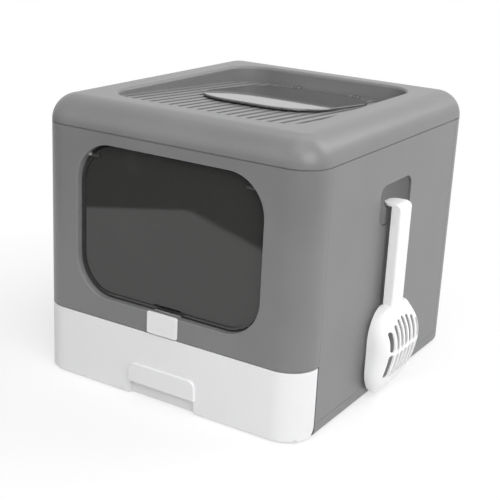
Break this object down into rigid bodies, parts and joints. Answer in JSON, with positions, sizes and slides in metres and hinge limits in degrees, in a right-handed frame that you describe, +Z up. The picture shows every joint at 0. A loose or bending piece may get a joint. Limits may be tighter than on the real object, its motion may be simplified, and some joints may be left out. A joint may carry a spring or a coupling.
{
  "type": "top entry litter box",
  "caption": "Walled cat litter box with a recessed grooved top, flip-up lid, swinging tinted front door with latch, slide-out drawer and a hanging scoop.",
  "frame": {"origin": "on the floor, at the centre of the box's footprint", "axes": "+Z up; the door and the drawer face -Y; the scoop hangs on the +X wall"},
  "size_m": [0.4507, 0.463, 0.383],
  "materials": {
    "body_gray": "satin",
    "white_plastic": "satin",
    "smoke_tint": "gloss, tinted, see-through",
    "pin_plastic": "satin",
    "pin_steel": "plain"
  },
  "bodies": {
    "box": {"base": "body_gray", "front_wall": "body_gray", "back_wall": "body_gray", "left_wall": "body_gray", "right_wall": "body_gray", "left_wall_pins": "pin_steel", "right_wall_pins": "pin_steel", "back_wall_pins": "pin_steel", "front_left_corner_pins": "pin_steel", "front_right_corner_pins": "pin_steel", "back_left_corner_pins": "pin_steel", "back_right_corner_pins": "pin_steel", "left_door_pin": "pin_plastic", "right_door_pin": "pin_plastic"},
    "cover": {"top_cover": "body_gray", "left_lid_pin": "pin_steel", "right_lid_pin": "pin_steel"},
    "lid": {"top_lid": "smoke_tint"},
    "door": {"front_door": "smoke_tint"},
    "latch": {"latch_slider": "white_plastic", "latch_bolt": "white_plastic"},
    "drawer": {"drawer_pan": "white_plastic", "drawer_front": "white_plastic"},
    "scoop": {"scoop": "white_plastic"}
  },
  "joints": [
    {"name": "cover_lift", "type": "slide", "parent": "box", "child": "cover", "axis": [0, 0, 1], "range_m": [0, 0.08]},
    {"name": "lid_hinge", "type": "hinge", "parent": "cover", "child": "lid", "pos_m": [0, 0.1695, 0.35811], "axis": [-1, 0, 0], "range_deg": [0, 95]},
    {"name": "door_swing", "type": "hinge", "parent": "box", "child": "door", "pos_m": [0, -0.219, 0.313], "axis": [1, 0, 0], "range_deg": [-60, 60]},
    {"name": "latch_slide", "type": "slide", "parent": "box", "child": "latch", "axis": [0, 0, 1], "range_m": [0, 0.006]},
    {"name": "drawer_slide", "type": "slide", "parent": "box", "child": "drawer", "axis": [0, -1, 0], "range_m": [0, 0.36]},
    {"name": "scoop_lift_off", "type": "slide", "parent": "box", "child": "scoop", "axis": [0.4226, 0, 0.9063], "range_m": [0, 0.12]}
  ]
}
